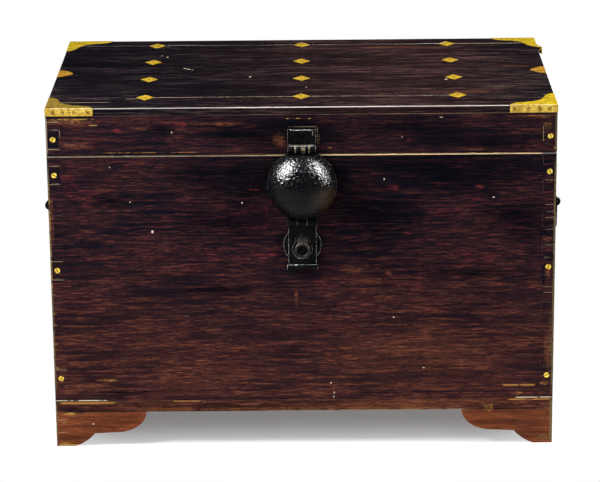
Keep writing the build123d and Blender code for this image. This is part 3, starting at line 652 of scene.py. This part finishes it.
def tack_grime():
    """Brown rings round the tacks in the mounts' straps."""
    leg, tacks_along = 0.085, (0.17, 0.37, 0.61, 0.9)
    ring_sizes = (0.0048, 0.0048, 0.0046)
    middle_z = (rim_top + lid_top) / 2
    rings = []
    for end, edge_y in ((-1, front_y), (1, back_y)):
        for hand in (-1, 1):
            for share in tacks_along:
                rings.append((hand * (right_x - share * leg), edge_y, middle_z))
                rings.append((hand * right_x, edge_y - end * share * leg, middle_z))
    look = {"Half Sizes": ring_sizes, "Core": 0.4, "Ragged": 0.8, "Streaks": 0.0}
    return [(brown_stain_and_reflection, 0.8, [(spot, {"Centre": ring, **look}) for ring in rings])]


def tones(dark, middle, bright):
    """The colours of a wood's figure, as hardwood takes them."""
    return {"dark": dark, "middle": middle, "bright": bright}


# ---- The finishes of the chest ----
front_wood = hardwood("front_wood", tone=redder_below, darkened=front_darkened, marks=front_marks)
left_tail_wood = hardwood("left_tail_wood", tone=redder_below, marks=left_tail_marks)
right_tail_wood = hardwood("right_tail_wood", tone=redder_below, darkened=right_tail_darkened,
                           marks=right_tail_marks)
rim_wood = hardwood("rim_wood", shift=(0.31, 0.2, 0.13), middle=(0.027, 0.0094, 0.0122),
                    darkened=rim_darkened, marks=rim_marks)
end_wood = hardwood("end_wood", turned=True, shift=(0.7, 0.1, 0.4), tone=redder_below)
back_wood = hardwood("back_wood", shift=(1.3, 0.5, 0.9), tone=redder_below)
lid_tones = tones((0.0028, 0.0027, 0.0042), (0.0068, 0.0050, 0.0066), (0.040, 0.028, 0.029))
lid_wood = hardwood("lid_wood", shift=(0.9, 1.1, 0.3), tone=redder_to_the_right, marks=lid_marks,
                    specular=0.0, spread=(0.5, 0.42, 1.0), **lid_tones)
rail_tones = tones((0.016, 0.006, 0.006), (0.075, 0.022, 0.014), (0.21, 0.070, 0.040))
foot_tones = tones((0.070, 0.020, 0.010), (0.185, 0.049, 0.019), (0.250, 0.078, 0.029))
sawn_tones = tones((0.10, 0.06, 0.035), (0.26, 0.16, 0.09), (0.38, 0.25, 0.15))
rail_shift, foot_shift = (0.2, 0.7, 1.9), (1.2, 0.4, 0.6)
rail_wood = hardwood("rail_wood", shift=rail_shift, marks=foot_marks, **rail_tones)
rail_end_wood = hardwood("rail_end_wood", turned=True, shift=rail_shift, **rail_tones)
foot_wood = hardwood("foot_wood", shift=foot_shift, marks=foot_marks, **foot_tones)
foot_end_wood = hardwood("foot_end_wood", turned=True, shift=foot_shift, **foot_tones)
sawn_roughness = 0.72
sawn_wood = hardwood("sawn_wood", roughness=sawn_roughness, **sawn_tones)
sawn_end_wood = hardwood("sawn_end_wood", turned=True, roughness=sawn_roughness, **sawn_tones)
worn_edge = rubbed_wood("worn_edge", (0.050, 0.032, 0.020), (0.070, 0.042, 0.022))
seam_edge = rubbed_wood("seam_edge", (0.16, 0.125, 0.075), (0.62, 0.44, 0.23), 0.26, 0.46)
thin_edge = rubbed_wood("thin_edge", (0.085, 0.06, 0.035), (0.30, 0.20, 0.09), 0.34, 0.58)

strap_brass = brass_finish("strap_brass", (0.76, 0.53, 0.090), (0.46, 0.29, 0.040), roughness=0.36,
                           marks=tack_grime())
leaf_brass = brass_finish("leaf_brass", (0.59, 0.425, 0.014), (0.40, 0.268, 0.011))
dull_leaf_brass = brass_finish("dull_leaf_brass", (0.278, 0.191, 0.026), (0.155, 0.098, 0.017))
fold_brass = brass_finish("fold_brass", (0.93, 0.82, 0.50), (0.78, 0.62, 0.22), metallic=0.3,
                          roughness=0.30)
inlay_brass = brass_finish("inlay_brass", (0.64, 0.430, 0.028), (0.41, 0.240, 0.020))
# The middles of the two tongues, in millimetres from the middle of the lid.
tongue_x = 441
tongue_shine = [
    ((0.85, 0.52, 0.14), 0.7, [lid_speck(hand * tongue_x, middle_y * 1000, 5, 5) for hand in (-1, 1)]),
]
tongue_brass = brass_finish("tongue_brass", (0.46, 0.240, 0.020), (0.30, 0.140, 0.018), marks=tongue_shine)
tack_brass = brass_finish("tack_brass", (0.40, 0.24, 0.030), (0.20, 0.11, 0.015), roughness=0.40)
screw_brass = brass_finish("screw_brass", (0.95, 0.72, 0.12), (0.80, 0.55, 0.06), (0.30, 0.15, 0.02),
                           metallic=0.3, roughness=0.35)
# Dark in the screw slots: dirt, and painted shade in the recess.
slot_dirt_and_shade = brass_finish("slot_dirt_and_shade", (0.10, 0.06, 0.02), (0.05, 0.03, 0.012), (0.02, 0.01, 0.005),
                         metallic=0.1, roughness=0.6)

barrel_streaks_and_highlights = [
    (tan, 0.5, [
        front_patch(-11, 565, 1.2, 8, 0.40), front_patch(3, 564, 4, 8, 0.45),
        front_patch(14, 565, 1.4, 8, 0.42),
    ]),
    # Painted highlights along the top of the barrel and the leaf.
    (silver_highlight, 0.55, [
        front_patch(0, 572.6, 25, 0.7, 0.42), front_patch(2, 599.5, 21, 0.6, 0.46),
        front_patch(20, 594, 0.6, 5, 0.44),
    ]),
]
# Painted reflection: a faint brown tint low on the right of the dome.
dome_painted_reflection = [(brown_stain_and_reflection, 0.15, [dome_soft_patch(40, 480, 36, 34)])]
black_iron = iron_finish("black_iron", (0.0020, 0.0024, 0.0034), (0.0045, 0.0046, 0.0052), metallic=0.0,
                         roughness=0.26, specular=0.03, marks=barrel_streaks_and_highlights)
dome_iron = iron_finish("dome_iron", (0.0022, 0.0024, 0.0034), (0.004, 0.004, 0.0045), metallic=0.0,
                        roughness=0.07, specular=0.10, grain=0.6, pitted=0.32, marks=dome_painted_reflection,
                        hammered=5.5)
# Pale iron for the eased edges: rubbed bright, and a painted highlight where they catch light.
rubbed_iron_and_highlight = iron_finish("rubbed_iron_and_highlight", (0.10, 0.10, 0.09), (0.80, 0.78, 0.70), metallic=0.3,
                          roughness=0.28, grain=3.0)
brown_iron = iron_finish("brown_iron", (0.006, 0.006, 0.006), (0.040, 0.032, 0.024), metallic=0.3,
                         roughness=0.40, specular=0.1)
grey_iron = iron_finish("grey_iron", (0.012, 0.011, 0.010), (0.17, 0.15, 0.125), metallic=0.7,
                        roughness=0.36, specular=0.2, grain=3.0)


# ---- Pieces ----
# Faces that meet at less than this many degrees are shaded as one.
wood_smoothing, metal_smoothing, dome_smoothing = 12, 30, 60
# How wide edges are eased, and the shortest edge that is, in metres.
board_easing, board_shortest = 0.0006, 0.0105
body_seam_easing, rim_seam_easing, seam_shortest = 0.0030, 0.0007, 0.012
rough_easing, rough_shortest = 0.0008, 0.01
fold_easing, fold_shortest = 0.0009, 0.01
mount_easing, inlay_easing, brass_shortest = 0.00025, 0.00015, 0.004
iron_easing, staple_easing = 0.0007, 0.0004


def copy_of(node):
    """A mesh to work on: the node's triangles merged into whole faces."""
    same_place, flat = 2e-6, math.radians(1)
    mesh = bmesh.new()
    mesh.from_mesh(nodes[node].data)
    bmesh.ops.remove_doubles(mesh, verts=mesh.verts, dist=same_place)
    bmesh.ops.dissolve_limit(mesh, angle_limit=flat, verts=mesh.verts, edges=mesh.edges)
    return mesh


def cut(mesh, place, normal, **settings):
    """Cuts the whole mesh at the plane through the place."""
    everything = mesh.verts[:] + mesh.edges[:] + mesh.faces[:]
    bmesh.ops.bisect_plane(mesh, geom=everything, plane_co=place, plane_no=normal, **settings)


def ease(mesh, width, segments=1, chosen=None, shortest=0.0, paint=1):
    """Rounds the sharp edges that are chosen, and gives the new faces the finish numbered paint."""
    sharp = math.radians(28)
    edges = [
        edge for edge in mesh.edges
        if len(edge.link_faces) == 2 and edge.calc_face_angle() > sharp
        and edge.calc_length() > shortest and (chosen is None or chosen(edge))
    ]
    made = bmesh.ops.bevel(mesh, geom=edges, offset=width, offset_type="OFFSET", segments=segments,
                           profile=0.5, affect="EDGES", clamp_overlap=True, material=-1)
    for face in made["faces"]:
        face.material_index = paint
    return mesh


def place_in_scene(mesh, name, finishes):
    """An object of the mesh, with these finishes."""
    data = bpy.data.meshes.new(name)
    mesh.to_mesh(data)
    mesh.free()
    for finish in finishes:
        data.materials.append(finish)
    thing = bpy.data.objects.new(name, data)
    scene.collection.objects.link(thing)
    return thing


def show(mesh, name, stands_for, finishes, slot, smoothing=metal_smoothing):
    """Makes a piece of the mesh, riding on the body of the node that it stands for."""
    piece = place_in_scene(mesh, name, finishes)
    piece.data.polygons.foreach_set("use_smooth", [True] * len(piece.data.polygons))
    piece.data.set_sharp_from_angle(angle=math.radians(smoothing))
    if slot != "brass":
        all_but_brass.objects.link(piece)
    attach(piece, body_of[stands_for])
    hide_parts(stands_for)


def lies_on(edge, axis, value, within=0.0006):
    """True where both ends of the edge are at the value along the axis."""
    return all(abs(vert.co[axis] - value) < within for vert in edge.verts)


def board(node, finish, across=None, tails=(), seams=()):
    """A board with its edges eased; seams are (test, width, finish) for edges worn further.

    Where its ends show between the tails of the boards that cross it, they have those boards' finish.
    tails are the finishes of a front board's own tails, left and right of the scribed lines.
    """
    thickest_board, straight_on = 0.05, 0.9
    mesh = copy_of(node)
    finishes = [finish, worn_edge]
    if across is not None:
        # The axis that its broad sides face: 1 for Y, 0 for X.
        own_normal = 1 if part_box(node)[1].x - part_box(node)[0].x > thickest_board else 0
        finishes.append(across)
        for face in mesh.faces:
            if abs(face.normal[1 - own_normal]) > straight_on:
                face.material_index = 2
    for hand, tail_finish in zip((-1, 1), tails):
        scribed = hand * (right_x - board_thickness)
        cut(mesh, (scribed, 0, 0), (1, 0, 0))
        finishes.append(tail_finish)
        for face in mesh.faces:
            if face.normal.y < -straight_on and hand * (face.calc_center_median().x - scribed) > 0:
                face.material_index = len(finishes) - 1
    chosen_before = []
    for test, seam_width, seam_finish in seams:
        finishes.append(seam_finish)
        paint = len(finishes) - 1
        ease(mesh, seam_width, segments=3, chosen=test, shortest=seam_shortest, paint=paint)
        chosen_before.append(test)

    def not_yet(edge):
        return not any(test(edge) for test in chosen_before)

    ease(mesh, board_easing, chosen=not_yet, shortest=board_shortest)
    show(mesh, f"{node}_wood", node, finishes, "dark_hardwood", wood_smoothing)


def top_front(edge):
    """True for the front edge of the body's top."""
    return lies_on(edge, 2, body_top) and lies_on(edge, 1, front_y)


def rim_top_front(edge):
    """True for the front edge of the lid rim's top."""
    return lies_on(edge, 2, rim_top) and lies_on(edge, 1, front_y)


front_seam = [(top_front, body_seam_easing, seam_edge)]
rim_seam = [(rim_top_front, rim_seam_easing, thin_edge)]
board("front_board", front_wood, end_wood, (left_tail_wood, right_tail_wood), seams=front_seam)
board("back_board", back_wood, end_wood)
board("lid_front_rim", rim_wood, end_wood, seams=rim_seam)
board("lid_back_rim", back_wood, end_wood)
for hand, tail_wood in (("left", left_tail_wood), ("right", right_tail_wood)):
    board(f"{hand}_board", end_wood, tail_wood, seams=front_seam)
    board(f"lid_{hand}_rim", end_wood, rim_wood, seams=rim_seam)
for part in ("front_strip", "panel", "back_strip"):
    board(f"lid_{part}", lid_wood)
for end in ("front", "back"):
    board(f"{end}_base_rail", rail_wood, rail_end_wood)
    for hand in ("left", "right"):
        board(f"{end}_{hand}_foot_face", foot_wood, foot_end_wood)
        board(f"{end}_{hand}_foot_side", foot_end_wood, foot_wood)
for hand in ("left", "right"):
    board(f"{hand}_base_rail", rail_end_wood, rail_wood)

for node in ("bottom_plank_1", "bottom_plank_2", "bottom_plank_3"):
    mesh = ease(copy_of(node), board_easing)
    show(mesh, f"{node}_wood", node, [sawn_wood, sawn_wood], "bottom_wood", wood_smoothing)
for node in ("bottom_bearer", "lid_battens", "foot_blocks"):
    mesh = ease(copy_of(node), rough_easing, shortest=rough_shortest)
    show(mesh, f"{node}_wood", node, [sawn_end_wood, sawn_end_wood], "bottom_wood", wood_smoothing)


# ---- Brass ----
def spring_loose(mesh):
    """Bends the front end of the rear right mount out from the lid, where it has lost its hold."""
    root, length, strap_depth = back_y - 0.052, 0.033, 0.03
    bend = Vector((0.009, 0, 0.0005))
    for share in (0.0, 0.25, 0.5, 0.75):
        cut(mesh, (0, root - share * length, 0), (0, 1, 0))
    for vert in mesh.verts:
        run = max(0.0, root - vert.co.y) / length
        if vert.co.x > right_x - strap_depth:
            vert.co += bend * run * run


def corner_mount(end, hand):
    """Dull on top, bright on the straps, brightest along the fold."""
    facing_up = 0.9
    node = f"corner_mount_{end}_{hand}"
    mesh = copy_of(node)
    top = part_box(node)[1].z
    out_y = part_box(node)[0].y if end == "front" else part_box(node)[1].y
    out_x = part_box(node)[0].x if hand == "left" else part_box(node)[1].x

    def fold(edge):
        return lies_on(edge, 2, top) and (lies_on(edge, 1, out_y) or lies_on(edge, 0, out_x))

    for face in mesh.faces:
        face.material_index = 1 if face.normal.z > facing_up else 0
    ease(mesh, fold_easing, segments=2, chosen=fold, shortest=fold_shortest, paint=2)
    ease(mesh, mount_easing, chosen=lambda edge: not fold(edge), shortest=brass_shortest, paint=2)
    if (end, hand) == ("back", "right"):
        spring_loose(mesh)
    leaf = dull_leaf_brass if (end, hand) == ("front", "left") else leaf_brass
    show(mesh, f"{node}_brass", node, [strap_brass, leaf, fold_brass], "brass")


for end in ("front", "back"):
    for hand in ("left", "right"):
        corner_mount(end, hand)
inlays = {"lozenges": inlay_brass, "edge_tongue_left": tongue_brass, "edge_tongue_right": tongue_brass}
for node, finish in inlays.items():
    mesh = ease(copy_of(node), inlay_easing, shortest=brass_shortest)
    show(mesh, f"{node}_brass", node, [finish, finish], "brass")
for node in ("brass_tacks", "lozenge_nails"):
    show(copy_of(node), f"{node}_brass", node, [tack_brass], "brass")
# Faces sunk into the slot get the dirt and painted shade.
slot_from = 0.0001
for node in ("body_corner_screws", "lid_corner_screws"):
    mesh = copy_of(node)
    head_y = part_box(node)[0].y
    for face in mesh.faces:
        face.material_index = 1 if face.calc_center_median().y > head_y + slot_from else 0
    show(mesh, f"{node}_brass", node, [screw_brass, slot_dirt_and_shade], "brass")


# ---- Iron ----
eased_iron = (
    "hasp_leaf", "hasp_strap", "hasp_flap", "lock_plate", "hinge_body_leaf_left",
    "hinge_body_leaf_right", "hinge_lid_leaf_left", "hinge_lid_leaf_right", "handle_eyes", "handle_roses",
)
plain_iron = (
    "hasp_upper_pin", "hasp_lower_pin", "hinge_pins", "body_iron_nails", "lid_iron_nails", "bail_left",
    "bail_right",
)
# Their eased edges get the pale iron: rubbed wear and a painted highlight.
for node in eased_iron:
    mesh = ease(copy_of(node), iron_easing, segments=2)
    show(mesh, f"{node}_iron", node, [black_iron, rubbed_iron_and_highlight], "iron")
for node in plain_iron:
    show(copy_of(node), f"{node}_iron", node, [black_iron], "iron")
mesh = ease(copy_of("staple"), staple_easing, segments=2)
show(mesh, "staple_iron", "staple", [brown_iron, grey_iron], "iron")


def hammered_dome():
    """The dome beaten from sheet: a half ball cut flat at the barrels, covered in shallow dents."""
    dent_spacing, pit_spacing, swell_spacing = 0.0046, 0.0036, 0.021
    dent_depth, pit_depth, swell_depth = 0.00022, 0.00028, 0.0004
    dent_reach, flat_back = 0.62, 0.02
    centre = Vector((0, dome_high.y, dome_z))
    mesh = bmesh.new()
    bmesh.ops.create_icosphere(mesh, subdivisions=7, radius=dome_r, matrix=Matrix.Translation(centre))
    for vert in mesh.verts:
        out = (vert.co - centre).normalized()
        if out.y > flat_back:
            continue
        spots = noise.voronoi(out * dome_r / dent_spacing)[0]
        dent = max(0.0, 1.0 - (spots[0] / dent_reach) ** 2)
        pits = 0.5 + 0.5 * noise.noise(out * dome_r / pit_spacing)
        swell = 0.5 + 0.5 * noise.noise(out * dome_r / swell_spacing)
        vert.co -= out * (dent_depth * dent + pit_depth * pits + swell_depth * swell)
    cuts = (
        ((0, dome_high.y, 0), (0, 1, 0)),
        ((0, 0, dome_high.z), (0, 0, 1)),
        ((0, 0, dome_low.z), (0, 0, -1)),
    )
    for place, outwards in cuts:
        cut(mesh, place, outwards, clear_outer=True)
        rim = [edge for edge in mesh.edges if edge.is_boundary]
        bmesh.ops.holes_fill(mesh, edges=rim, sides=0)
    show(mesh, "hammered_dome", "hasp_dome", [dome_iron], "iron", dome_smoothing)


hammered_dome()


# ---- Studio ----
def seen_directly(wiring):
    """1 for what the camera, a reflection or glass looks at, 0 for the light that the set gives."""
    path = wiring.node("ShaderNodeLightPath").outputs
    seen = wiring.maths("MAXIMUM", path["Is Camera Ray"], path["Is Glossy Ray"])
    return wiring.maths("MAXIMUM", seen, path["Is Transmission Ray"])


def studio_floor():
    """A wide white floor that keeps the soft shadow of the chest, with a painted shadow round it: it glows
    less near the chest and more away from it.
    """
    half_width, paper_white = 16, (0.93, 0.93, 0.93)
    inside_edge, glow_run, painted_shadow_glow = 0.15, 0.33, 0.19
    mesh = bmesh.new()
    bmesh.ops.create_grid(mesh, x_segments=1, y_segments=1, size=half_width)
    material = bpy.data.materials.new("white_paper")
    wiring = emptied(material)
    paper = wiring.node("ShaderNodeBsdfDiffuse", {"Color": paper_white})
    glow = wiring.node("ShaderNodeEmission", {"Color": (1, 1, 1), "Strength": 1.0})
    place = wiring.node("ShaderNodeTexCoord").outputs["Object"]
    # Painted shadow: the floor glows least near the chest, and fully once past the glow run.
    sideways = wiring.absolute(wiring.vector("SUBTRACT", place, (0, middle_y, 0)))
    core = (right_x - inside_edge, back_y - middle_y - inside_edge, 0)
    beyond = wiring.vector("MAXIMUM", wiring.vector("SUBTRACT", sideways, core), (0, 0, 0))
    glow_past_painted_shadow = wiring.span(wiring.length(beyond), 0.0, glow_run, painted_shadow_glow, 1.0)
    share = wiring.times(seen_directly(wiring), glow_past_painted_shadow)
    both = wiring.node("ShaderNodeMixShader", {0: share, 1: paper.outputs[0], 2: glow.outputs[0]})
    wiring.node("ShaderNodeOutputMaterial", {"Surface": both.outputs[0]})
    floor = place_in_scene(mesh, "studio_floor", [material])


def studio_flags():
    """A ring of black cloth round the set, which only reflections show."""
    ring_r, ring_height, cloth_black = 7, 14, (0.01, 0.01, 0.01, 1)
    mesh = bmesh.new()
    bmesh.ops.create_cone(mesh, cap_ends=False, segments=48, radius1=ring_r, radius2=ring_r,
                          depth=ring_height, matrix=Matrix.Translation((0, 0, ring_height / 2)))
    bmesh.ops.reverse_faces(mesh, faces=mesh.faces)
    material = bpy.data.materials.new("black_cloth")
    material.use_nodes = True
    cloth = material.node_tree.nodes["Principled BSDF"].inputs
    cloth["Base Color"].default_value = cloth_black
    cloth["Roughness"].default_value = 1.0
    flags = place_in_scene(mesh, "studio_flags", [material])
    flags.visible_camera = False
    flags.visible_diffuse = False
    flags.visible_shadow = False


def studio_world():
    """White air, dimmer as a light than it looks."""
    light_given = 0.45
    world = bpy.data.worlds.new("studio_air")
    scene.world = world
    wiring = emptied(world)
    values = {0: seen_directly(wiring), 1: 0.0, 2: 1.0, 3: light_given, 4: 1.0}
    strength = wiring.node("ShaderNodeMapRange", values).outputs[0]
    air = wiring.node("ShaderNodeBackground", {"Color": (1, 1, 1), "Strength": strength})
    wiring.node("ShaderNodeOutputWorld", {"Surface": air.outputs[0]})


def softbox(name, towards, side, power, reflected=False):
    """A square lamp turned to the dome, or a card that only shows in gloss, and not in the brass."""
    lit_place, distance = Vector((0, -0.29, 0.5)), 1.9
    lamp = bpy.data.lights.new(name, "AREA")
    lamp.shape = "SQUARE"
    lamp.size = side
    lamp.energy = power
    holder = bpy.data.objects.new(name, lamp)
    scene.collection.objects.link(holder)
    away = Vector(towards).normalized()
    holder.location = lit_place + away * distance
    holder.rotation_euler = away.to_track_quat("Z", "Y").to_euler()
    holder.visible_camera = False
    holder.visible_glossy = reflected
    holder.visible_diffuse = not reflected
    if reflected:
        holder.light_linking.receiver_collection = all_but_brass


def place_camera():
    """In front and a little above, from far off."""
    turn, rise, roll = math.radians(0.34), math.radians(16.68), math.radians(-0.56)
    looks_at, distance = Vector((-0.006, 0.028, 0.310)), 5.289
    back = Vector((math.sin(turn) * math.cos(rise), -math.cos(turn) * math.cos(rise), math.sin(rise)))
    level = Vector((math.cos(turn), math.sin(turn), 0))
    up = back.cross(level)
    right = math.cos(roll) * level + math.sin(roll) * up
    up = math.cos(roll) * up - math.sin(roll) * level
    lens = bpy.data.cameras.new("camera")
    lens.lens = 165.9
    lens.sensor_width = 36
    lens.clip_end = 100
    camera = bpy.data.objects.new("camera", lens)
    scene.collection.objects.link(camera)
    turned = Matrix((right, up, back)).transposed().to_4x4()
    camera.matrix_world = Matrix.Translation(looks_at + back * distance) @ turned
    scene.camera = camera


studio_floor()
studio_flags()
studio_world()
softbox("softbox_left", (-0.70, -0.25, 0.66), side=0.55, power=48)
softbox("softbox_right", (0.79, -0.01, 0.60), side=0.55, power=48)
softbox("gloss_card_left", (-0.714, 0.048, 0.70), side=1.5, power=860, reflected=True)
softbox("gloss_card_right", (0.749, 0.37, 0.545), side=1.9, power=1450, reflected=True)
place_camera()
